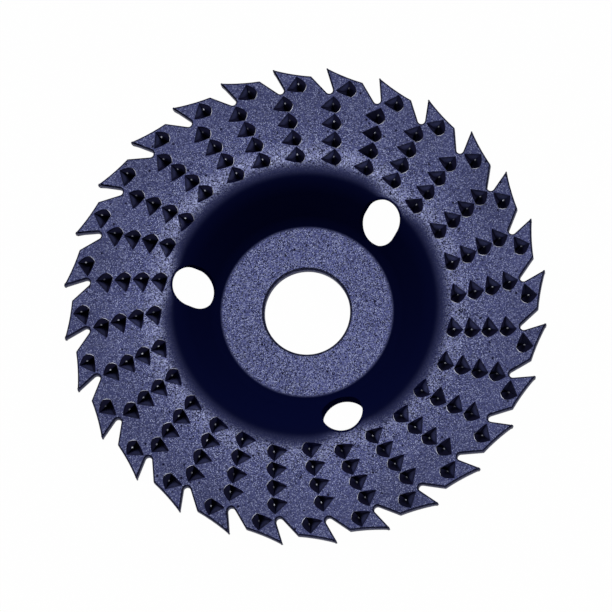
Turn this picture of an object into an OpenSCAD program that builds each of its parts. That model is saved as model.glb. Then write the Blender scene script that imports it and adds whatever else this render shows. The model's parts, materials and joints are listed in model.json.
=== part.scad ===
// Carving disc for an angle grinder: one pressed steel plate with a dished
// centre, hooked saw teeth round its rim and punched rasp teeth on its face.
// Millimetres. +Z is the spin axis, towards the cutting face, and the origin is
// the centre of the bore on the hub's back, which seats on the spindle flange.

/* [Plate] */
// diameter over the tips of the saw teeth
tip_d = 125; // [115:0.5:135]
// thickness of the steel plate
plate_t = 3.5; // [2.5:0.1:4]

/* [Bore] */
// diameter of the bore, which fits the pilot of the spindle flange
bore_d = 22.23; // [20:0.01:25.4]
// width of the broken edge at the bore's front
bore_break = 0.4; // [0.2:0.1:0.8]

/* [Dish] */
// diameter of the flat hub face that the clamping nut bears on
hub_d = 44; // [40:0.5:46]
// diameter of the dish at its lip
lip_d = 72.6; // [70:0.2:76]
// depth of the hub face below the cutting face
dish_depth = 10.5; // [8:0.25:12]
// front bend radius where the hub turns up into the wall
hub_bend_r = 4; // [2:0.25:6]
// front bend radius where the wall turns over at the lip
lip_bend_r = 8; // [5:0.25:9]

/* [Vent holes] */
// number of holes through the wall of the dish
vent_count = 3; // [2:1:4]
// width of the holes, round the disc
vent_d = 10.6; // [6:0.1:11.5]
// stretch of the holes along the wall, which the pressing draws out
vent_stretch = 1.6; // [0:0.1:2]
// lean of the holes towards the spin axis, in degrees
vent_lean = 12; // [0:1:20]
// shift of the holes outwards from the middle of the wall
vent_out = 0.7; // [-0.5:0.1:1]
// turn of the first hole from the X axis, in degrees
vent_turn = 48.9; // [0:0.1:180]

/* [Saw teeth] */
// number of saw teeth round the rim
saw_count = 28; // [24:1:32]
// depth of the gullets below the tips
gullet_depth = 6.7; // [5:0.1:8]
// radius at the bottom of the gullets
gullet_r = 0.95; // [0.6:0.05:1.3]
// width of the gullets' mouths, from tip to heel
gullet_mouth = 3.7; // [3:0.1:4.5]
// forward hook of the cutting edges, in degrees
hook = 22; // [12:1:28]
// drop of each tooth's heel below its tip
heel_drop = 2.4; // [1.5:0.1:3.2]
// hollow of each tooth's back below a straight line
back_hollow = 0.25; // [0:0.05:0.5]
// turn of the first tip from the X axis, in degrees
tip_turn = 7.7; // [0:0.1:12]

/* [Rasp teeth] */
// height of the rasp teeth above the face
rasp_h = 1.3; // [0.8:0.1:1.8]
// width of a rasp tooth across its cutting edge
rasp_w = 4.2; // [3:0.1:4.4]
// sweep of the cutting edge's ends behind its point
edge_sweep = 0.4; // [0:0.05:0.6]
// length of a tooth's back, behind its cutting edge
rasp_back = 2; // [1.4:0.1:2.4]
// length of the punched pit ahead of the cutting edge
pit_len = 2.9; // [2.4:0.1:3.6]
// depth of the punched pit
pit_depth = 0.8; // [0.4:0.1:1.2]
// shift of the pit's lowest line towards the centre
pit_lean = 0.85; // [0:0.05:1.2]
// turn of the rasp teeth towards the centre, in degrees
toe_in = 17; // [0:1:25]

/* [Rasp rows] */
// least gap between the teeth of a row
rasp_gap = 0.3; // [0.2:0.1:2]
// distance of a row's first tooth from the lip of the dish
row_start = 2.8; // [2.4:0.1:4]
// distance of a row's last tooth from the gullets
row_end = 3.1; // [2.8:0.1:5]
// lag of a row's first tooth behind its saw tip, in degrees
lag_start = 5.4; // [3:0.1:8]
// lag of a row's last tooth behind its saw tip, in degrees
lag_end = 2.6; // [0:0.1:6]
// distance of the tooth on each saw tooth from the tip circle
rim_inset = 4.8; // [4.4:0.1:5.6]
// lag of that tooth behind the saw tip, along the rim
rim_lag = 6.3; // [5.6:0.1:7]
// stagger of alternate rows, outwards and inwards
stagger = 0.4; // [0:0.1:0.6]
// scatter of the hand-punched rows, outwards and inwards
scatter_out = 0.9; // [0:0.1:1]
// scatter of the hand-punched rows, round the disc
scatter_round = 0.7; // [0:0.1:0.8]

/* [Hidden] */
$fn = 120;

tip_r = tip_d / 2;
bore_r = bore_d / 2;
hub_r = hub_d / 2;
lip_r = lip_d / 2;
face_z = plate_t + dish_depth;
root_r = tip_r - gullet_depth;
tooth_step = 360 / saw_count;

// the wall is the common tangent of the bends at the hub and at the lip
hub_c = [hub_r, plate_t + hub_bend_r];
lip_c = [lip_r, face_z - lip_bend_r];
span = lip_c - hub_c;
wall_a = atan2(span.y, span.x) + asin((hub_bend_r + lip_bend_r) / norm(span));
vent_r = (hub_r + lip_r) / 2 + vent_out;

// each tooth of a row lies on a straight sweep from the lip to the gullets
row_in = lip_r + row_start;
row_out = root_r - row_end;
row_count = 1 + floor((row_out - row_in) / (rasp_w + rasp_gap));
shift_out = rands(-scatter_out, scatter_out, saw_count, 717415);
shift_round = rands(-scatter_round, scatter_round, saw_count, 442460);
// the saw teeth guide the punch: a row's last tooth and the one on the rim stray less
row_end_guide = 0.4;
rim_stray = 0.3;

// cuts run past the faces that they open by this much
past = 1;
// share of a radius by which a tangent bites into its round, so that they cross
bite = 0.0005;
// the raised backs are made with their tops this far ahead, and the pits trim them
trim = 0.3;
// the pits are wider than the teeth by this much on each side
pit_ease = 0.1;

function polar(r, a) = [r * cos(a), r * sin(a)];

// Angle that an arc of this length spans at a radius
function arc_a(arc, r) = arc / r * 180 / PI;

// Everything below one face of the plate: the front at lift 0, the back at
// lift -plate_t. The bends keep their centres, so the plate has one thickness.
module below_face(lift) {
    hub_r1 = hub_bend_r - lift;
    lip_r1 = lip_bend_r + lift;
    wall = [sin(wall_a), -cos(wall_a)];
    floor_z = -plate_t - lip_bend_r;
    difference() {
        union() {
            polygon([
                [bore_r / 2, floor_z],
                [tip_r + 2 * past, floor_z],
                [tip_r + 2 * past, face_z + lift],
                [lip_r, face_z + lift],
                lip_c,
                lip_c - wall * lip_r1 * (1 - bite),
                hub_c + wall * hub_r1 * (1 - bite),
                hub_c,
                [hub_r, plate_t + lift],
                [bore_r / 2, plate_t + lift]
            ]);
            translate(lip_c) circle(lip_r1);
        }
        translate(hub_c) circle(hub_r1);
    }
}

// Section through the pressed plate, from inside the bore to outside the tips
module plate_section() {
    difference() {
        below_face(0);
        below_face(-plate_t);
    }
}

// Gullet ahead of a tip on the X axis, with the waste beyond the next tooth's back
module gullet() {
    tip = [tip_r, 0];
    face = -polar(1, hook);
    out = [face.y, -face.x];
    c_r = root_r + gullet_r;
    reach = tip_r * cos(hook) - sqrt(pow(c_r, 2) - pow(tip_r * sin(hook) - gullet_r, 2));
    c = tip + reach * face + gullet_r * out;
    heel_r = tip_r - heel_drop;
    heel = polar(heel_r, arc_a(gullet_mouth, heel_r));
    next = polar(tip_r, tooth_step);
    back = next - heel;
    dip = back_hollow * [-back.y, back.x] / norm(back);
    hollow = [for (s = [0.25, 0.5, 0.75]) heel + back * s + dip * 4 * s * (1 - s)];
    to_heel = heel - c;
    foot_a = atan2(to_heel.y, to_heel.x) + acos(gullet_r / norm(to_heel));
    union() {
        polygon([
            tip - 2 * past * face,
            c - out * gullet_r * (1 - bite),
            c,
            c + polar(gullet_r * (1 - bite), foot_a),
            heel,
            each hollow,
            next + (next - hollow[2]) * 0.6,
            polar(tip_r + 5 * past, tooth_step + 1),
            polar(tip_r + 5 * past, 0.4)
        ]);
        translate(c) circle(gullet_r, $fn = 24);
    }
}

// Hole through the wall of the dish, on the X axis: a round hole drawn out to a slot
module vent() {
    translate([vent_r, 0, face_z / 2]) rotate([0, -vent_lean, 0])
        linear_extrude(face_z + 2 * past, center = true) {
            square([vent_stretch, vent_d], center = true);
            for (side = [-1, 1]) translate([side * vent_stretch / 2, 0]) circle(vent_d / 2);
        }
}

// Raised back of a rasp tooth, its cutting edge over the origin, cutting along +X
module rasp_back_form() {
    sink = plate_t / 8;
    top = [trim, 0, rasp_h * (rasp_back + trim) / rasp_back];
    foot = [
        [-edge_sweep, -rasp_w / 2, 0],
        [-rasp_back * 0.74, -rasp_w * 0.28, 0],
        [-rasp_back * 0.97, -rasp_w * 0.05, 0],
        [-rasp_back, rasp_w * 0.19, 0],
        [-rasp_back * 0.67, rasp_w * 0.38, 0],
        [-edge_sweep, rasp_w / 2, 0],
        [trim + pit_len / 4, 0, 0]
    ];
    sides = len(foot);
    base = [for (p = foot) top + (p - top) * (top.z + sink) / top.z];
    polyhedron(
        concat(base, [top]),
        concat(
            [[for (i = [sides - 1 : -1 : 0]) i]],
            [for (i = [0 : sides - 1]) [i, (i + 1) % sides, sides]]
        )
    );
}

// Punched pit ahead of a rasp tooth, whose rear walls make its cutting edge
module rasp_pit() {
    side = rasp_w / 2 + pit_ease;
    low = [pit_len / 5, pit_lean, -pit_depth];
    up = [0, 0, rasp_h] - low;
    rim = [[-edge_sweep, -side, 0], low, [-edge_sweep, side, 0], [pit_len, 0, 0]];
    lift = [for (p = rim) low + (p - low) * 1.15];
    lid = [for (p = lift) p + up * (rasp_h + past - p.z) / up.z];
    polyhedron(
        concat(lift, lid),
        [
            [3, 1, 0], [3, 2, 1], [4, 5, 7], [5, 6, 7],
            [0, 1, 5, 4], [1, 2, 6, 5], [2, 3, 7, 6], [3, 0, 4, 7]
        ]
    );
}

// Places its children at every rasp tooth: along the rows, then on the saw teeth
module each_rasp_tooth() {
    for (k = [0 : saw_count - 1]) {
        tip_a = tip_turn + k * tooth_step;
        out = shift_out[k] + (k % 2 == 0 ? stagger : -stagger);
        for (j = [0 : row_count - 1]) {
            s = row_count > 1 ? j / (row_count - 1) : 0;
            r = row_in + (row_out - row_in) * s + out * (1 - row_end_guide * s);
            lag = lag_start + (lag_end - lag_start) * s;
            at_ring(r, tip_a - lag + arc_a(shift_round[k], r)) children();
        }
        rim_r = tip_r - rim_inset + shift_out[k] * rim_stray;
        at_ring(rim_r, tip_a - arc_a(rim_lag - shift_round[k] * rim_stray, rim_r)) children();
    }
}

// A place on the cutting face, turned so that +X is the way the teeth cut
module at_ring(r, a) {
    rotate(a) translate([r, 0, face_z]) rotate(90 + toe_in) children();
}

module carving_disc() {
    color([0.2, 0.2, 0.33]) difference() {
        intersection() {
            union() {
                rotate_extrude() plate_section();
                each_rasp_tooth() rasp_back_form();
            }
            translate([0, 0, -past]) linear_extrude(face_z + rasp_h + 2 * past) difference() {
                circle(tip_r + past);
                for (k = [0 : saw_count - 1]) rotate(tip_turn + k * tooth_step) gullet();
            }
        }
        each_rasp_tooth() rasp_pit();
        translate([0, 0, -past]) cylinder(h = plate_t + 2 * past, r = bore_r);
        translate([0, 0, plate_t - bore_break])
            cylinder(h = bore_break + past, r1 = bore_r, r2 = bore_r + bore_break + past);
        for (k = [0 : vent_count - 1]) rotate(vent_turn + k * 360 / vent_count) vent();
    }
}

carving_disc();
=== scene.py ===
"""Coated carving disc for an angle grinder, modelled round its packed CAD frame."""

import json
import math
import random
from types import SimpleNamespace

import bmesh
import bpy
from bpy.props import FloatProperty, FloatVectorProperty, IntProperty, PointerProperty
from mathutils import Matrix, Vector
from mathutils.geometry import intersect_line_line_2d, intersect_point_line


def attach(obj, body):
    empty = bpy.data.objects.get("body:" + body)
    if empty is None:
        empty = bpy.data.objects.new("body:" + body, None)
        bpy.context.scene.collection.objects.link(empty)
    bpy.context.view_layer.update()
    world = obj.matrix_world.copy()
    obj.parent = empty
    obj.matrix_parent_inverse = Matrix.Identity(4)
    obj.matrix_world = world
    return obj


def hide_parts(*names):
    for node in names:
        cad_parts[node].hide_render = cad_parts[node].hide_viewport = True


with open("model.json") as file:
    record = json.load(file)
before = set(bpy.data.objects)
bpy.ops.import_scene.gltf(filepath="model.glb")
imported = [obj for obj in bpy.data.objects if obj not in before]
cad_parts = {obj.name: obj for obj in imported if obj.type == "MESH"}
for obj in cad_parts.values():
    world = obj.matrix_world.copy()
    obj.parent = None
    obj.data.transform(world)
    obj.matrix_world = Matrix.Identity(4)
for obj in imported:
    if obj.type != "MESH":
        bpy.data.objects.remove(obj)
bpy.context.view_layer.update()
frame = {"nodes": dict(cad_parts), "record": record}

bl_info = {
    "name": "Carving disc",
    "version": (1, 0, 0),
    "blender": (4, 5, 0),
    "location": "View3D > Sidebar > Carving disc",
    "description": "Builds a dished, toothed carving disc and its studio",
    "category": "Add Mesh",
}

MM = 0.001
SAME = 0.01 * MM  # heights and places closer than this count as one
WELD = 0.002 * MM  # doubles closer than this are merged
NODE = frame["nodes"]["carving_disc"]
BORE = next(m for m in frame["record"]["mounts"] if m["name"] == "bore")


# Sizes


def cad_tip_radius():
    """Radius of the tip circle, from the frame."""
    return max(v.co.xy.length for v in NODE.data.vertices)


def length(name, default_mm, description):
    """A size property that is written in millimetres and kept in metres."""
    return FloatProperty(
        name=name, description=description, default=default_mm * MM,
        min=0.0, precision=5, unit="LENGTH", subtype="DISTANCE",
    )


def turn(name, default_deg, description):
    """An angle property that is written in degrees and kept in radians."""
    return FloatProperty(
        name=name, description=description, default=math.radians(default_deg),
        unit="ROTATION", subtype="ANGLE",
    )


def colour(name, default, description):
    """A linear colour property."""
    return FloatVectorProperty(
        name=name, description=description, default=default,
        size=3, min=0.0, max=1.0, subtype="COLOR",
    )


class PlateSizes(bpy.types.PropertyGroup):
    """Sizes of the pressed plate."""

    tip_radius: length("Tip radius", cad_tip_radius() / MM, "Radius over the saw tips")
    thickness: length("Thickness", 3.5, "Thickness of the steel")
    bore_radius: length("Bore radius", BORE["dims"]["r_mm"], "Radius of the bore")
    bore_round: length("Bore rounding", 0.65, "Rounding of the bore's front edge")
    hub_radius: length("Hub radius", 22.0, "Radius of the flat hub")
    lip_radius: length("Lip radius", 35.5, "Radius of the dish at its lip")
    depth: length("Dish depth", 10.5, "Depth of the hub below the cutting face")
    hub_bend: length("Hub bend", 4.0, "Front bend radius at the hub")
    lip_bend: length("Lip bend", 7.2, "Front bend radius at the lip")
    vent_count: IntProperty(name="Vents", description="Holes in the wall", default=3, min=1)
    vent_width: length("Vent width", 10.6, "Width of a vent round the disc")
    vent_stretch: length("Vent stretch", 1.6, "Stretch of a vent along the wall")
    vent_lean: turn("Vent lean", 12.0, "Lean of the vents towards the spin axis")
    vent_radius: length("Vent radius", 29.85, "Distance of the vents from the spin axis")
    vent_turn: turn("Vent turn", 48.9, "Turn of the first vent")
    # The rim round the vents is painted shade, in the smooth near-black coat.
    vent_rim: length("Vent rim", 0.9, "Width of the smooth coat round the vents")


class SawSizes(bpy.types.PropertyGroup):
    """Sizes of the saw teeth round the rim."""

    count: IntProperty(name="Teeth", description="Saw teeth round the rim", default=28, min=3)
    gullet_depth: length("Gullet depth", 6.7, "Depth of the gullets below the tips")
    gullet_radius: length("Gullet radius", 0.95, "Radius at the gullets' bottoms")
    mouth: length("Gullet mouth", 3.7, "Width of a gullet from tip to heel")
    hook: turn("Hook", 22.0, "Forward hook of the cutting edges")
    heel_drop: length("Heel drop", 2.4, "Drop of a tooth's heel below its tip")
    hollow: length("Back hollow", 0.25, "Hollow of a tooth's back")
    first: turn("First tip", 7.7, "Turn of the first tip")
    tip_flat: length("Tip flat", 0.22, "Blunting of the tips")
    edge_round: length("Edge rounding", 0.4, "Rounding of the cut edges under the coat")


class RaspSizes(bpy.types.PropertyGroup):
    """Sizes of the punched rasp teeth."""

    height: length("Height", 1.3, "Height of a rasp tooth above the face")
    width: length("Width", 4.55, "Width of a rasp tooth across its cutting edge")
    sweep: length("Edge sweep", 0.4, "Sweep of the cutting edge's ends")
    back: length("Back", 2.0, "Length of a tooth's back")
    pit: length("Pit length", 3.35, "Length of the punched pit")
    pit_depth: length("Pit depth", 0.7, "Depth of the punched pit")
    pit_lean: length("Pit lean", 0.85, "Shift of the pit's lowest line to the centre")
    toe_in: turn("Toe-in", 17.0, "Turn of the teeth towards the centre")
    # The apron also carries the painted highlight on one side of a tooth's foot.
    apron: length("Apron", 0.1, "Width of the rubbed apron round a tooth")
    room: length("Room", 0.03, "Least room between the aprons and the other edges")
    foot_round: length("Foot rounding", 0.09, "Width of the soft edge round a tooth")
    edge_round: length("Edge rounding", 0.08, "Rounding of a tooth's cutting edge")
    point_round: length("Point rounding", 0.2, "Rounding of a tooth's point")


class CoatColours(bpy.types.PropertyGroup):
    """Colours of the coat."""

    flat: colour("Flats", (0.087, 0.098, 0.248), "Satin coat on the flats")
    grain: colour("Grains", (0.42, 0.46, 0.72), "Light grains in the satin coat")
    # The pits' colour also paints shade on the rounded edges.
    pit: colour("Pits", (0.006, 0.006, 0.020), "Dark pits in the satin coat")
    # The wall colour is near-black painted shade, standing in for the dark reflections on the dish
    # wall.
    wall: colour("Wall", (0.003, 0.005, 0.040), "Smooth coat in the dish")
    # The teeth colour is near-black painted shade, standing in for the dark reflections on the
    # teeth's slopes.
    tooth: colour("Teeth", (0.003, 0.004, 0.022), "Glossy coat on the rasp teeth")
    # This colour paints highlights on the teeth's points, on one side of their feet and on the lip.
    rubbed: colour("Rubbed", (0.62, 0.64, 0.74), "Coat rubbed bright at points, feet and lip")


# Drawing helpers


def polar(radius, angle):
    """A point in the plane from a radius and an angle."""
    return Vector((radius * math.cos(angle), radius * math.sin(angle)))


def arc(centre, radius, start, end, steps):
    """Points round an arc, both ends included."""
    angles = (start + (end - start) * i / steps for i in range(steps + 1))
    return [centre + polar(radius, a) for a in angles]


def select(kind, test):
    """Selects the verts, edges or faces of the mesh in edit mode that pass a test."""
    modes = {"verts": "VERT", "edges": "EDGE", "faces": "FACE"}
    bpy.ops.mesh.select_mode(type=modes[kind])
    bpy.ops.mesh.select_all(action="DESELECT")
    mesh = bpy.context.edit_object.data
    shape = bmesh.from_edit_mesh(mesh)
    found = [item for item in getattr(shape, kind) if test(item)]
    for item in found:
        item.select_set(True)
    shape.select_flush_mode()
    bmesh.update_edit_mesh(mesh)
    if not found:
        raise RuntimeError(f"no {kind} to work on")


def near(point, reach=2 * SAME):
    """A test for vertices at a point."""
    place = Vector(point)
    return lambda v: (v.co - place).length < reach


def at_level(edge, height):
    """Whether both ends of an edge lie at a height."""
    return all(abs(v.co.z - height) < SAME for v in edge.verts)


def lies_flat(face, limit):
    """Whether a face looks up or down, where a limit of 1 means exactly so."""
    return abs(face.normal.z) > limit


def move_selected(step):
    """Moves what is selected."""
    bpy.ops.transform.translate(value=step)


def draw_line(name, points):
    """A new object whose edges run through the points, each extruded from the last."""
    bpy.ops.object.select_all(action="DESELECT")
    bpy.ops.mesh.primitive_plane_add(size=MM)
    line = bpy.context.object
    line.name = name
    bpy.ops.object.mode_set(mode="EDIT")
    bpy.ops.mesh.select_mode(type="VERT")
    bpy.ops.mesh.merge(type="CENTER")
    move_selected(points[0])
    for start, end in zip(points, points[1:]):
        bpy.ops.mesh.extrude_vertices_move(TRANSFORM_OT_translate={"value": end - start})
    return line


def merge_all():
    """Merges the doubles of the mesh in edit mode and turns its faces outwards."""
    bpy.ops.mesh.select_all(action="SELECT")
    bpy.ops.mesh.remove_doubles(threshold=WELD)
    bpy.ops.mesh.normals_make_consistent(inside=False)


def leave_edit():
    """Back to object mode, with nothing selected in the mesh."""
    bpy.ops.mesh.select_all(action="DESELECT")
    bpy.ops.object.mode_set(mode="OBJECT")


def join(target, others):
    """Joins other objects into the target."""
    bpy.ops.object.select_all(action="DESELECT")
    for other in others:
        other.select_set(True)
    target.select_set(True)
    bpy.context.view_layer.objects.active = target
    bpy.ops.object.join()


# Saw rim


def saw_outline(plate, saw):
    """Points along the rim from one tip to the next, counterclockwise."""
    tip = Vector((plate.tip_radius, 0))
    down = -polar(1, saw.hook)
    out = Vector((down.y, -down.x))
    centre_r = plate.tip_radius - saw.gullet_depth + saw.gullet_radius
    across = plate.tip_radius * math.sin(saw.hook) - saw.gullet_radius
    reach = plate.tip_radius * math.cos(saw.hook) - math.sqrt(centre_r**2 - across**2)
    centre = tip + reach * down + saw.gullet_radius * out
    heel_r = plate.tip_radius - saw.heel_drop
    heel = polar(heel_r, saw.mouth / heel_r)
    to_heel = heel - centre
    start = math.atan2(-out.y, -out.x)
    end = math.atan2(to_heel.y, to_heel.x) + math.acos(saw.gullet_radius / to_heel.length)
    end -= math.tau * math.ceil((end - start) / math.tau)
    following = polar(plate.tip_radius, math.tau / saw.count)
    back = following - heel
    dip = saw.hollow * Vector((-back.y, back.x)) / back.length
    shares = (0.2, 0.4, 0.6, 0.8)
    hollow = [heel + back * s + dip * 4 * s * (1 - s) for s in shares]
    gullet = arc(centre, saw.gullet_radius, start, end, steps=8)
    return [tip, *gullet, heel, *hollow, following]


def saw_rim(plate, saw, face_z):
    """The rim's cut edge, open at the top and bottom, with its edges rounded."""
    lay = Matrix.Rotation(saw.first, 2)
    outline = [(lay @ p).to_3d() + Vector((0, 0, face_z)) for p in saw_outline(plate, saw)]
    rim = draw_line("rim", outline)
    bpy.ops.mesh.select_all(action="SELECT")
    bpy.ops.mesh.spin(
        steps=saw.count - 1, dupli=True, angle=math.tau * (1 - 1 / saw.count),
        center=(0, 0, 0), axis=(0, 0, 1),
    )
    bpy.ops.mesh.select_all(action="SELECT")
    bpy.ops.mesh.remove_doubles(threshold=WELD)
    bpy.ops.mesh.edge_face_add()
    bpy.ops.mesh.extrude_region_move(TRANSFORM_OT_translate={"value": (0, 0, -plate.thickness)})
    merge_all()

    def at_tip(edge):
        """Whether an edge stands upright at a tip."""
        a, b = (v.co for v in edge.verts)
        upright = abs(a.z - b.z) > plate.thickness / 2
        return upright and a.xy.length > plate.tip_radius - SAME

    select("edges", at_tip)
    bpy.ops.mesh.bevel(offset=saw.tip_flat, segments=2, affect="EDGES")
    select("edges", lambda e: at_level(e, e.verts[0].co.z))
    bpy.ops.mesh.bevel(offset=saw.edge_round, segments=3, affect="EDGES", clamp_overlap=False)
    select("faces", lambda f: lies_flat(f, 0.99) and len(f.verts) > saw.count)
    bpy.ops.mesh.delete(type="ONLY_FACE")
    leave_edit()
    return rim


# Dish


def dish_profile(plate, face_z):
    """Section of the dish as (radius, height), from the front lip round to the back."""
    t = plate.thickness
    hub_c = Vector((plate.hub_radius, t + plate.hub_bend))
    lip_c = Vector((plate.lip_radius, face_z - plate.lip_bend))
    span = lip_c - hub_c
    slope = math.atan2(span.y, span.x)
    slope += math.asin((plate.hub_bend + plate.lip_bend) / span.length)
    up, down = math.pi / 2, -math.pi / 2
    bore, edge, back_edge = plate.bore_radius, plate.bore_round, plate.bore_round / 2
    support = 0.4 * MM
    front = [
        *arc(lip_c, plate.lip_bend, up, up + slope, steps=14),
        *arc(hub_c, plate.hub_bend, slope + down, down, steps=8),
        Vector((plate.hub_radius - support, t)),
        Vector((bore + edge + support, t)),
    ]
    front_c = Vector((bore + edge, t - edge))
    back_c = Vector((bore + back_edge, back_edge))
    bore_wall = [
        *arc(front_c, edge, up, math.pi, steps=4),
        *arc(back_c, back_edge, math.pi, 1.5 * math.pi, steps=3),
    ]
    back = [
        Vector((bore + back_edge + support, 0)),
        Vector((plate.hub_radius - support, 0)),
        *arc(hub_c, plate.hub_bend + t, down, slope + down, steps=12),
        *arc(lip_c, plate.lip_bend - t, up + slope, up, steps=10),
    ]
    return front + bore_wall + back


def dish(plate, face_z):
    """The pressed dish, from the front lip through the bore to the back lip."""
    section = [Vector((p.x, 0, p.y)) for p in dish_profile(plate, face_z)]
    shell = draw_line("dish", section)
    bpy.ops.mesh.select_all(action="SELECT")
    bpy.ops.mesh.spin(steps=168, angle=math.tau, center=(0, 0, 0), axis=(0, 0, 1))
    merge_all()
    leave_edit()
    return shell


# Rasp teeth


def paint(name, marks):
    """Adds a point attribute and sets it to the value of each test's vertices."""
    bpy.ops.geometry.attribute_add(name=name, domain="POINT", data_type="FLOAT")
    for value, test in marks:
        select("verts", test)
        bpy.ops.mesh.attribute_set(value_float=value)


def rasp_outline(rasp):
    """Outline of a tooth's apron: the edge's outer end, the back, the inner end and the pit."""
    half, back, pit, swept = rasp.width / 2, rasp.back, rasp.pit, -rasp.sweep
    # Places along and across the tooth, as shares of its own lengths.
    foot = [
        (swept, -half), (-0.6 * back, -0.56 * half), (-0.88 * back, -0.14 * half),
        (-back, 0.36 * half), (-0.7 * back, 0.74 * half), (swept, half),
        (0.44 * pit, 0.6 * half), (0.82 * pit, 0.28 * half), (pit, 0.05 * half),
        (0.75 * pit, -0.26 * half), (0.45 * pit, -0.55 * half),
    ]
    grown = 1 + rasp.apron / half
    return [Vector((x * grown, y * grown)) for x, y in foot]


def rasp_tooth(rasp):
    """One punched tooth on the plane z = 0, cutting along +X, open underneath."""
    points = [p.to_3d() for p in rasp_outline(rasp)]
    tooth = draw_line("rasp_tooth", points)
    bpy.ops.mesh.select_all(action="SELECT")
    bpy.ops.mesh.edge_face_add()

    def inset(width):
        """Insets the selected face, and gives the new corner at each point of the outline."""
        bpy.ops.mesh.inset(thickness=width, depth=0)
        shape = bmesh.from_edit_mesh(tooth.data)
        inner = [v.co.copy() for v in max(shape.faces, key=lambda f: f.calc_area()).verts]
        return [min(inner, key=lambda p: (p - q).length) for q in points]

    def connect(a, b):
        """Draws an edge across a face, from corner to corner."""
        select("verts", lambda v: near(a)(v) or near(b)(v))
        bpy.ops.mesh.vert_connect()

    apron = inset(rasp.apron)
    ring = inset(rasp.foot_round)
    outer_end, inner_end = ring[0], ring[5]
    connect(outer_end, inner_end)
    middle = (outer_end + inner_end) / 2
    select("edges", lambda e: ((e.verts[0].co + e.verts[1].co) / 2 - middle).length < SAME)
    bpy.ops.mesh.subdivide(number_cuts=1)
    point = Vector((0, 0, rasp.height))
    select("verts", near(middle))
    move_selected(point - middle)
    for back_point in ring[1:5]:
        connect(point, back_point)
    pit_corners = len([outer_end, point, inner_end, *ring[6:]])
    select("faces", lambda f: f.calc_center_median().x > 0 and len(f.verts) == pit_corners)
    bpy.ops.mesh.poke()
    select("verts", lambda v: len(v.link_faces) == len(v.link_edges) == pit_corners)
    shape = bmesh.from_edit_mesh(tooth.data)
    centre = next(v.co.copy() for v in shape.verts if v.select)
    hollow = Vector((rasp.pit / 5, rasp.pit_lean, -rasp.pit_depth))
    move_selected(hollow - centre)

    select("verts", near(point))
    bpy.ops.mesh.bevel(offset=rasp.point_round, segments=1, affect="VERTICES")
    at_point = near(point, 1.3 * rasp.point_round)
    select("verts", at_point)
    bpy.ops.transform.resize(value=(1, 1, 0))

    def on_ridge(edge):
        """Whether an edge runs from an end of the cutting edge up to the point."""
        feet = [v for v in edge.verts if near(outer_end)(v) or near(inner_end)(v)]
        return feet and at_point(edge.other_vert(feet[0]))

    select("edges", on_ridge)
    bpy.ops.mesh.bevel(offset=rasp.edge_round, segments=1, affect="EDGES")

    def at_any(places):
        """A test for vertices at any of the places."""
        return lambda v: any(near(p)(v) for p in places)

    pit_side = [*apron[9:], *ring[9:]]  # here the pit runs out into the satin coat
    foot_highlight, beside_it = [apron[4]], [apron[3], apron[5]]
    # The punched mark paints the teeth near-black as painted shade, less so in the hollow and little
    # where the pit runs out.
    paint("punched", [
        (1.0, lambda v: not v.is_boundary),
        (0.7, at_any([hollow])),
        (0.15, at_any(pit_side)),
    ])
    # Painted highlights: a bright spot on the point and a bright rim on one side of the foot.
    paint("point", [(1.0, at_point)])
    paint("rubbed", [(1.0, at_any(foot_highlight)), (0.4, at_any(beside_it))])
    leave_edit()
    return tooth


def rasp_places(rasp, face_z):
    """Where the rasp teeth stand: the points of the frame's own teeth."""
    high = face_z + 0.8 * rasp.height
    tops = sorted((v.co.copy() for v in NODE.data.vertices if v.co.z > high), key=lambda p: -p.z)
    places = []
    for top in tops:
        if all((top.xy - p).length > rasp.width / 2 for p in places):
            places.append(top.xy)
    return sorted(places, key=lambda p: (-round(p.length / MM), math.atan2(p.y, p.x)))


def edges_round(points):
    """The edges of a closed outline."""
    return list(zip(points, [*points[1:], points[0]]))


def nearest(outline, walls):
    """Smallest gap from an outline to the walls, and the wall's point there."""
    best = math.inf, None
    for a, b in edges_round(outline):
        for c, d in walls:
            if intersect_line_line_2d(a, b, c, d):
                return 0.0, (c + d) / 2
            for p, (q, r) in ((a, (c, d)), (c, (a, b)), (d, (a, b))):
                _, share = intersect_point_line(p, q, r)
                foot = q.lerp(r, min(max(share, 0.0), 1.0))
                gap = (p - foot).length
                if gap < best[0]:
                    best = gap, (foot if p is a else p)
    return best


def settle(place, lay, rasp, walls):
    """Moves a tooth, or makes it smaller, until it is clear: its place, size and outline."""
    in_reach, step_mm, tries = 6 * MM, 0.02, 50
    close = [edge for edge in walls if min((end - place).length for end in edge) < in_reach]
    for size in (1.0, 0.96, 0.92, 0.88, 0.84, 0.8, 0.76):
        turned = [Matrix.Rotation(lay, 2) @ p * size for p in rasp_outline(rasp)]
        spot = place.copy()
        for _ in range(tries):
            outline = [spot + p for p in turned]
            gap, wall = nearest(outline, close)
            if gap > rasp.room:
                return spot, size, outline
            spot += (spot - wall).normalized() * step_mm * MM
    raise RuntimeError("a rasp tooth has no room")


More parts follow.
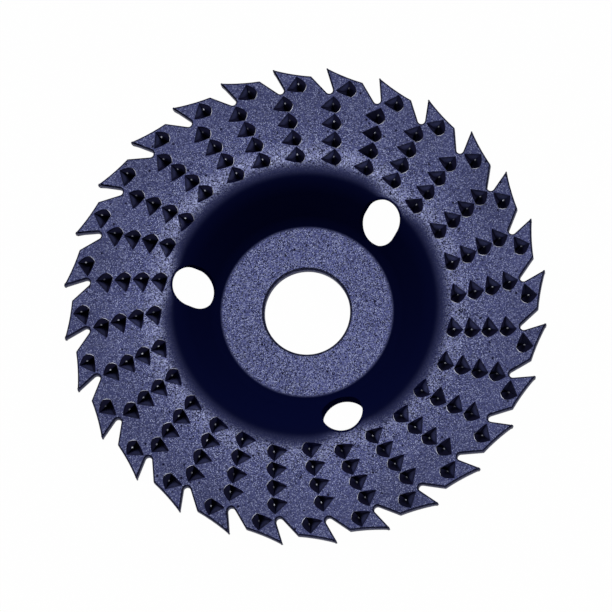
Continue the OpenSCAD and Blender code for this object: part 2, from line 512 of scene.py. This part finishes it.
def rasp_teeth(rasp, face_z, walls):
    """A copy of the tooth at every place, each a little different, as punched teeth are."""
    seed, most_turn_deg = 28, 4
    lowest, highest = 0.88, 0.99  # as shares of the full height
    tooth = rasp_tooth(rasp)
    dice = random.Random(seed)
    walls = list(walls)
    copies = []
    for place in rasp_places(rasp, face_z):
        copy = bpy.data.objects.new("rasp_copy", tooth.data.copy())
        bpy.context.collection.objects.link(copy)
        lay = math.atan2(place.y, place.x) + math.pi / 2 + rasp.toe_in
        lay += math.radians(dice.uniform(-most_turn_deg, most_turn_deg))
        place, size, outline = settle(place, lay, rasp, walls)
        walls += edges_round(outline)
        copy.location = (place.x, place.y, face_z)
        copy.rotation_euler.z = lay
        copy.scale = (size, size, dice.uniform(lowest, highest))
        copies.append(copy)
    bpy.data.objects.remove(tooth)
    join(copies[0], copies[1:])
    bpy.ops.object.transform_apply(location=True, rotation=True, scale=True)
    return copies[0]


# Assembling the disc


def close_ring(height):
    """Fills the flat ring at a height, round all the open edges there."""
    select("edges", lambda e: e.is_boundary and at_level(e, height))
    bpy.ops.mesh.fill(use_beauty=True)


def open_edges(piece, height):
    """The open edges of a piece at a height, seen from above."""
    shape = bmesh.new()
    shape.from_mesh(piece.data)
    edges = [e for e in shape.edges if e.is_boundary and at_level(e, height)]
    ends = [tuple(v.co.xy for v in e.verts) for e in edges]
    shape.free()
    return ends


def check_closed(piece):
    """Stops if the piece has an open edge or an edge with too many faces."""
    shape = bmesh.new()
    shape.from_mesh(piece.data)
    faults = sum(not e.is_manifold for e in shape.edges)
    shape.free()
    if faults:
        raise RuntimeError(f"{piece.name} has {faults} faulty edges")


def vent_cutter(plate, face_z, angle):
    """A leaning slot-shaped cutter for one vent, which stands out at both ends."""
    stands_out = 2 * MM
    bpy.ops.object.select_all(action="DESELECT")
    bpy.ops.mesh.primitive_cylinder_add(
        vertices=64, radius=plate.vent_width / 2, depth=face_z + 2 * stands_out
    )
    cutter = bpy.context.object
    bpy.ops.object.mode_set(mode="EDIT")
    for side in (-1, 1):
        select("verts", lambda v: v.co.x * side > SAME)
        move_selected((side * plate.vent_stretch / 2, 0, 0))
    leave_edit()
    place = polar(plate.vent_radius, angle)
    cutter.location = (place.x, place.y, face_z / 2)
    cutter.rotation_euler = (0, -plate.vent_lean, angle)
    bpy.ops.object.transform_apply(location=True, rotation=True, scale=True)
    return cutter


def pierce_vents(piece, plate, face_z):
    """Cuts the vents through the wall of the dish."""
    for k in range(plate.vent_count):
        cutter = vent_cutter(plate, face_z, plate.vent_turn + k * math.tau / plate.vent_count)
        bpy.context.view_layer.objects.active = piece
        cut = piece.modifiers.new("vent", "BOOLEAN")
        cut.operation = "DIFFERENCE"
        cut.solver = "EXACT"
        cut.object = cutter
        bpy.ops.object.modifier_apply(modifier=cut.name)
        bpy.data.objects.remove(cutter)


def shade_flats(levels):
    """Shades the faces on the flat levels as flat, so that the bends beside don't bow them."""
    bpy.ops.object.mode_set(mode="EDIT")

    def on_flat(face):
        height = face.calc_center_median().z
        return lies_flat(face, 0.9999) and min(abs(height - z) for z in levels) < SAME

    select("faces", on_flat)
    bpy.ops.mesh.faces_shade_flat()
    leave_edit()


class CARVING_OT_disc(bpy.types.Operator):
    """Build the coated disc and put it in the place of the CAD node"""

    bl_idname = "carving.disc"
    bl_label = "Carving disc"

    def execute(self, context):
        scene = context.scene
        plate, saw, rasp = scene.disc_plate, scene.disc_saw, scene.disc_rasp
        face_z = plate.thickness + plate.depth
        piece = saw_rim(plate, saw, face_z)
        shell = dish(plate, face_z)
        walls = open_edges(piece, face_z) + open_edges(shell, face_z)
        teeth = rasp_teeth(rasp, face_z, walls)
        join(piece, [shell, teeth])
        piece.name = "coated_disc"
        bpy.ops.object.mode_set(mode="EDIT")
        close_ring(face_z)
        close_ring(face_z - plate.thickness)
        merge_all()
        leave_edit()
        check_closed(piece)
        pierce_vents(piece, plate, face_z)
        check_closed(piece)
        piece.select_set(True)
        bpy.ops.object.shade_smooth_by_angle(angle=math.radians(38))
        shade_flats((0, plate.thickness, plate.depth, face_z))
        piece.data.materials.clear()
        piece.data.materials.append(coat_material(scene.disc_coat, plate))
        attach(piece, "root")
        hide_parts("carving_disc")
        return {"FINISHED"}


# Shader maths


class Value:
    """A shader socket that is used in sums as a number is."""

    def __init__(self, tree, socket):
        self.tree = tree
        self.socket = socket

    def _math(self, operation, *values):
        return self.tree.node("ShaderNodeMath", {"operation": operation}, *values)

    def __add__(self, other):
        return self._math("ADD", self, other)

    def __sub__(self, other):
        return self._math("SUBTRACT", self, other)

    def __rsub__(self, other):
        return self._math("SUBTRACT", other, self)

    def __mul__(self, other):
        return self._math("MULTIPLY", self, other)

    def __pow__(self, other):
        return self._math("POWER", self, other)

    __radd__ = __add__
    __rmul__ = __mul__

    def output(self, name):
        """Another output of the same node."""
        return Value(self.tree, self.socket.node.outputs[name])

    def size(self):
        """The number without its sign."""
        return self._math("ABSOLUTE", self)

    def at_least(self, low):
        """The larger of this and another number."""
        return self._math("MAXIMUM", self, low)

    def ramp(self, low, high):
        """0 below low, 1 above high and a straight rise from one to the other."""
        return self.tree.node(
            "ShaderNodeMapRange", None, Value=self, From_Min=low, From_Max=high
        )

    def between(self, low, high):
        """0 below low, 1 above high and a smooth step from one to the other."""
        settings = {"interpolation_type": "SMOOTHSTEP"}
        return self.tree.node(
            "ShaderNodeMapRange", settings, Value=self, From_Min=low, From_Max=high
        )


class Tree:
    """The node tree of a material or world."""

    def __init__(self, owner):
        owner.use_nodes = True
        self.nodes = owner.node_tree.nodes
        self.links = owner.node_tree.links
        self.nodes.clear()

    def _give(self, socket, value):
        if isinstance(value, Value):
            self.links.new(value.socket, socket)
        elif value is not None:
            socket.default_value = value

    def node(self, kind, settings=None, *values, output=0, **sockets):
        """Adds a node, sets it, feeds its sockets, all but those given None, and gives an output."""
        node = self.nodes.new(kind)
        for name, setting in (settings or {}).items():
            setattr(node, name, setting)
        for socket, value in zip(node.inputs, values):
            self._give(socket, value)
        for name, value in sockets.items():
            self._give(node.inputs[name.replace("_", " ")], value)
        return Value(self, node.outputs[output]) if node.outputs else None

    def mix(self, factor, a, b, blend="MIX"):
        """Mixes two colours, whose sockets come after those for numbers and vectors."""
        settings = {"data_type": "RGBA", "blend_type": blend}
        others = [None] * 5
        return self.node("ShaderNodeMix", settings, factor, *others, a, b, output=2)


# Coat

# Cells to the metre of the coat's specks and noises.
CELLS = {
    "crumbs": 5200.0,
    "grains": 3700.0,
    "pits": 3300.0,
    "glints": 1900.0,
    "scars": 1300.0,
    "gleam": 330.0,
    "cloud": 60.0,
}
CRUMBLE = 0.2 * MM  # how ragged the specks are
LIT_SIDE = (-14, 22, 0)  # the side on which the lip's painted highlight is brightest


def rgba(rgb, gain=1.0):
    """A colour property as a socket's value."""
    return (*(c * gain for c in rgb), 1.0)


def vent_place(tree, plate, place, radius):
    """A place seen along the nearest vent's axis: out from the disc's centre, and across."""
    east = tree.node("ShaderNodeSeparateXYZ", None, place)
    around = tree.node("ShaderNodeMath", {"operation": "ARCTAN2"}, east.output("Y"), east)
    share = math.pi / plate.vent_count
    aside = tree.node(
        "ShaderNodeMath", {"operation": "WRAP"}, around - plate.vent_turn, share, -share
    )
    middle = (plate.thickness + plate.depth) / 2
    leaning = (east.output("Z") - middle) * math.tan(plate.vent_lean)
    along = radius * tree.node("ShaderNodeMath", {"operation": "COSINE"}, aside)
    across = radius * tree.node("ShaderNodeMath", {"operation": "SINE"}, aside)
    return along + leaning, across


def coat_masks(tree, plate, place):
    """Where the coat is smooth with painted shade, plain, lively, painted with a lip highlight or
    painted with dark edges.
    """
    hub, lip, bore, tips = plate.hub_radius, plate.lip_radius, plate.bore_radius, plate.tip_radius

    def mark(name):
        """What is painted on the mesh under a name."""
        return tree.node("ShaderNodeAttribute", {"attribute_name": name}, output="Fac")

    punched, point, rubbed = mark("punched"), mark("point"), mark("rubbed")
    flat_place = tree.node("ShaderNodeVectorMath", {"operation": "MULTIPLY"}, place, (1, 1, 0))
    radius = tree.node(
        "ShaderNodeVectorMath", {"operation": "LENGTH"}, flat_place, output="Value"
    )
    facing = tree.node("ShaderNodeTexCoord", output="Normal")
    rise = tree.node("ShaderNodeSeparateXYZ", None, facing, output="Z")
    in_front = rise.between(-0.45, -0.25)  # 0 on what looks down, at the back
    level = rise.size()

    # Painted shade: a smooth near-black coat on the wall of the dish, the sides of the vents and a
    # narrow rim round them stands in for their shade.
    along, across = vent_place(tree, plate, place, radius)
    past = ((along - plate.vent_radius).size() - plate.vent_stretch / 2).at_least(0.0)
    from_vent = (past**2 + across**2) ** 0.5 - plate.vent_width / 2
    vent_rim = 1 - from_vent.between(0.6 * plate.vent_rim, 1.2 * plate.vent_rim)
    shaded_vent_side = (1 - level.between(0.25, 0.5)) * (1 - radius.between(lip + 2 * MM, lip + 3 * MM))
    fade_start, fade_end, fade_curve = lip - 4.8 * MM, lip + 2.8 * MM, 3.3
    earlier_at_vent = 1.8 * MM  # beside a vent the smooth coat ends this much further in
    at_vent = 1 - across.size().between(2 * MM, 10 * MM)
    reach = radius + at_vent * earlier_at_vent
    out_of_dish = reach.ramp(fade_start, fade_end) ** fade_curve
    in_dish = radius.between(hub - 0.5 * MM, hub + 0.7 * MM) * in_front
    smooth = in_dish * (1 - out_of_dish).at_least(shaded_vent_side).at_least(vent_rim)
    plain = (1 - smooth) * (1 - (punched * 3).between(0, 1))

    # Painted highlight: the lip is painted lighter, most on one side; and the coat gets quieter
    # towards the rim.
    near_lip = reach.between(lip, lip + 2 * MM) * (1 - reach.between(lip + 3 * MM, lip + 8 * MM))
    outward = radius.between(lip, tips - 6 * MM)
    lit_side = tree.node(
        "ShaderNodeVectorMath", {"operation": "DOT_PRODUCT"}, place, LIT_SIDE, output="Value"
    )
    even_highlight, sided_highlight = 0.75, 0.35
    worn_lip = near_lip * in_front * plain * (even_highlight + lit_side * sided_highlight)
    lively_hub, quieter_rim, livelier_lip = 1.7, 0.95, 2.0
    lively = (lively_hub - outward * quieter_rim + near_lip * livelier_lip) * plain

    # Painted shade: the rounded cut edges, the tips, the bore and the sides of the rim are painted
    # dark.
    rounded = level.between(0.10, 0.30) * (1 - level.between(0.955, 0.998))
    tip = radius.between(tips - 1.2 * MM, tips - 0.3 * MM)
    bore_shade = 1 - radius.between(bore + 0.05 * MM, bore + 0.2 * MM)
    rim_side_shade = (1 - level.between(0.1, 0.3)) * radius.between(lip + 15 * MM, lip + 16 * MM)
    bore_shade_share, rim_shade_share = 0.8, 0.75
    dark_edge = rounded.at_least(tip).at_least(bore_shade * bore_shade_share)
    dark_edge = dark_edge.at_least(rim_side_shade * rim_shade_share)
    return SimpleNamespace(
        punched=punched, point=point, rubbed=rubbed, smooth=smooth, plain=plain,
        outward=outward, worn_lip=worn_lip, lively=lively, dark_edge=dark_edge,
    )


def coat_material(coat, plate):
    """Satin speckled coat on the flats, smooth and near-black in the dish as painted shade, glossy
    and dark on the teeth as painted shade, with painted highlights.
    """
    material = bpy.data.materials.new("coated_steel")
    tree = Tree(material)
    place = tree.node("ShaderNodeTexCoord", output="Object")
    masks = coat_masks(tree, plate, place)

    def noise(kind):
        """Soft spots of about the size of a cell."""
        return tree.node(
            "ShaderNodeTexNoise", None, Vector=place, Scale=CELLS[kind], Detail=2.0
        )

    crumbs = noise("crumbs").output("Color")
    crumbled = tree.node(
        "ShaderNodeVectorMath", {"operation": "MULTIPLY_ADD"}, crumbs, (CRUMBLE,) * 3, place
    )

    def specks(kind, low, high):
        """Ragged specks, one to a cell, none where the cell's dice is below low."""
        cell = tree.node(
            "ShaderNodeTexVoronoi", {"feature": "F1"}, Vector=crumbled, Scale=CELLS[kind]
        )
        dice = tree.node("ShaderNodeSeparateColor", None, cell.output("Color"))
        return (1 - cell.output("Distance").between(0.25, 0.62)) * dice.between(low, high)

    grains = specks("grains", 0.25, 0.90) * masks.lively
    pits = specks("pits", 0.20, 0.80) * masks.lively
    scars = specks("scars", 0.965, 0.985) * masks.plain
    # Painted glints at the lip.
    glints = specks("glints", 0.62, 0.88) * masks.worn_lip
    gleam = noise("gleam").between(0.3, 0.7)
    # Darker towards the rim, and lighter at the lip as a painted highlight.
    darker_rim, lighter_lip, clouding = 0.36, 0.6, 0.5
    cloud = (noise("cloud") - 0.5) * clouding
    shade = 1.0 - masks.outward * darker_rim + masks.worn_lip * lighter_lip + cloud
    grey = tree.node("ShaderNodeCombineColor", None, shade, shade, shade)
    # Painted highlights on the teeth's feet and points, brighter on some teeth than on others.
    foot = masks.rubbed.between(0.15, 0.6) * (0.4 + gleam * 0.6)
    point = masks.point.between(0.88, 0.97) * (0.1 + gleam**2 * 0.9)

    # Painted shade: the punched mark turns the teeth near-black.
    body = tree.mix(masks.punched, rgba(coat.flat), rgba(coat.tooth))
    body = tree.mix(1.0, body, grey, "MULTIPLY")
    layers = (
        # Painted highlight at the lip, then grains and pits, painted glints, painted edge shade and
        # painted highlights at the feet and points.
        (masks.worn_lip * 0.14, rgba(coat.rubbed)),
        (grains * 0.9, rgba(coat.grain)),
        (pits.at_least(scars), rgba(coat.pit)),
        (glints, rgba(coat.grain, gain=1.3)),
        (masks.dark_edge * 0.85, rgba(coat.pit)),
        (foot, rgba(coat.rubbed)),
        (point, rgba(coat.rubbed)),
    )
    for share, tint in layers:
        body = tree.mix(share, body, tint)

    bump = tree.node(
        "ShaderNodeBump", None, Strength=0.25, Distance=0.05 * MM, Height=grains - pits
    )
    satin_coat = tree.node(
        "ShaderNodeBsdfPrincipled", None, Base_Color=body, Metallic=0.92,
        Roughness=0.36 - masks.punched * 0.14, Specular_Tint=(0.45, 0.45, 0.50, 1.0), Normal=bump,
    )
    # The smooth near-black coat is painted shade on the dish wall and round the vents.
    painted_shade_coat = tree.node(
        "ShaderNodeBsdfPrincipled", None, Base_Color=rgba(coat.wall), Roughness=0.7,
        Specular_IOR_Level=0.0,
    )
    tree.node(
        "ShaderNodeOutputMaterial", None,
        tree.node("ShaderNodeMixShader", None, masks.smooth, satin_coat, painted_shade_coat),
    )
    return material


# Studio

WHITE = (1, 1, 1, 1)
PALE = (0.9, 0.9, 0.9, 1)
FLOOR_RADIUS = 8.0
FLOOR_DROP = 0.05 * MM  # keeps the floor clear of the disc's back
CAMERA_TILT = math.radians(11.4)
CAMERA_SIDE = (0.32, -0.947)  # where the camera leans to, seen from above
CAMERA_DISTANCE = 1.9
CAMERA_LENS = 434.5
AIM_HEIGHT = 14 * MM
AIM_RIGHT, AIM_DOWN = 0.40 * MM, 0.45 * MM


def white_floor():
    """Pale floor that shows as white and keeps a soft shadow."""
    material = bpy.data.materials.new("pale_floor")
    tree = Tree(material)
    seen = tree.node("ShaderNodeLightPath", output="Is Camera Ray")
    glossy = tree.node("ShaderNodeLightPath", output="Is Glossy Ray")
    through = tree.node("ShaderNodeLightPath", output="Is Transmission Ray")
    share = tree.node("ShaderNodeMath", {"operation": "MINIMUM"}, seen + glossy + through, 1.0)
    matt = tree.node("ShaderNodeBsdfDiffuse", None, Color=PALE)
    glow = tree.node("ShaderNodeEmission", None, Color=WHITE, Strength=1.0)
    tree.node(
        "ShaderNodeOutputMaterial", None,
        tree.node("ShaderNodeMixShader", None, share * 0.99, matt, glow),
    )
    return material


def studio_light(world, lean):
    """A soft box over the disc and a soft band of light round it.

    The band falls mostly from behind, and shows about evenly in the satin coat.
    """
    tree = Tree(world)
    way = tree.node("ShaderNodeTexCoord", output="Generated")
    glossy = tree.node("ShaderNodeLightPath", output="Is Glossy Ray")

    def towards(direction):
        """How far a way into the room points in a direction, from -1 to 1."""
        settings = {"operation": "DOT_PRODUCT"}
        return tree.node("ShaderNodeVectorMath", settings, way, direction, output="Value")

    height = towards((0, 0, 1))
    behind = towards((0, 1, 0))
    room_light, room_shown, box_light = 0.04, 0.06, 1.2
    falls_evenly, falls_from_behind = 0.38, 0.72
    shows_evenly, shows_from_behind = 0.72, 0.12
    room = room_light + glossy * room_shown
    box = box_light * towards(lean).between(0.84, 0.985)
    band = height.between(0.02, 0.28) * (1 - height.between(0.60, 0.78))
    falls = (falls_evenly + behind * falls_from_behind).at_least(0.0)
    shows = shows_evenly + behind * shows_from_behind
    strength = room + box + band * (falls + (shows - falls) * glossy)
    light = tree.node("ShaderNodeBackground", None, Color=WHITE, Strength=strength)
    tree.node("ShaderNodeOutputWorld", None, light)


class CARVING_OT_studio(bpy.types.Operator):
    """Add the floor, the light and the camera"""

    bl_idname = "carving.studio"
    bl_label = "Studio"

    def execute(self, context):
        scene = context.scene
        bpy.ops.object.select_all(action="DESELECT")
        bpy.ops.mesh.primitive_circle_add(vertices=64, radius=FLOOR_RADIUS, fill_type="NGON")
        floor = context.object
        floor.name = "floor"
        floor.location.z = -FLOOR_DROP
        floor.data.materials.append(white_floor())

        lean_x, lean_y = (part * math.sin(CAMERA_TILT) for part in CAMERA_SIDE)
        aim = Vector((lean_x, lean_y, math.cos(CAMERA_TILT))).normalized()
        world = bpy.data.worlds.new("studio")
        studio_light(world, (-aim.x, -aim.y, aim.z))
        scene.world = world

        right = Vector((0, 1, 0)).cross(aim).normalized()
        up = aim.cross(right)
        target = Vector((0, 0, AIM_HEIGHT)) + right * AIM_RIGHT - up * AIM_DOWN
        eye = target + aim * CAMERA_DISTANCE
        bpy.ops.object.camera_add()
        camera = context.object
        camera.name = "camera"
        camera.data.lens = CAMERA_LENS
        camera.data.sensor_width = 36.0
        camera.data.clip_end = 50.0
        camera.matrix_world = Matrix((
            (right.x, up.x, aim.x, eye.x),
            (right.y, up.y, aim.y, eye.y),
            (right.z, up.z, aim.z, eye.z),
            (0, 0, 0, 1),
        ))
        scene.camera = camera
        scene.view_settings.view_transform = "Standard"
        return {"FINISHED"}


class CARVING_PT_panel(bpy.types.Panel):
    """Sizes of the disc and the steps that build it"""

    bl_label = "Carving disc"
    bl_idname = "CARVING_PT_panel"
    bl_space_type = "VIEW_3D"
    bl_region_type = "UI"
    bl_category = "Carving disc"

    def draw(self, context):
        for group in GROUPS:
            box = self.layout.box()
            box.label(text=GROUPS[group].__doc__)
            values = getattr(context.scene, group)
            for name in GROUPS[group].__annotations__:
                box.prop(values, name)
        self.layout.operator(CARVING_OT_disc.bl_idname)
        self.layout.operator(CARVING_OT_studio.bl_idname)


GROUPS = {
    "disc_plate": PlateSizes,
    "disc_saw": SawSizes,
    "disc_rasp": RaspSizes,
    "disc_coat": CoatColours,
}
CLASSES = (*GROUPS.values(), CARVING_OT_disc, CARVING_OT_studio, CARVING_PT_panel)


def register():
    """Registers the classes and gives the scene its properties."""
    for cls in CLASSES:
        bpy.utils.register_class(cls)
    for name, group in GROUPS.items():
        setattr(bpy.types.Scene, name, PointerProperty(type=group))


def unregister():
    """Undoes what register does."""
    for name in GROUPS:
        delattr(bpy.types.Scene, name)
    for cls in reversed(CLASSES):
        bpy.utils.unregister_class(cls)


def main():
    """Builds the disc and its studio."""
    register()
    bpy.ops.carving.disc()
    bpy.ops.carving.studio()


if __name__ == "__main__":
    main()
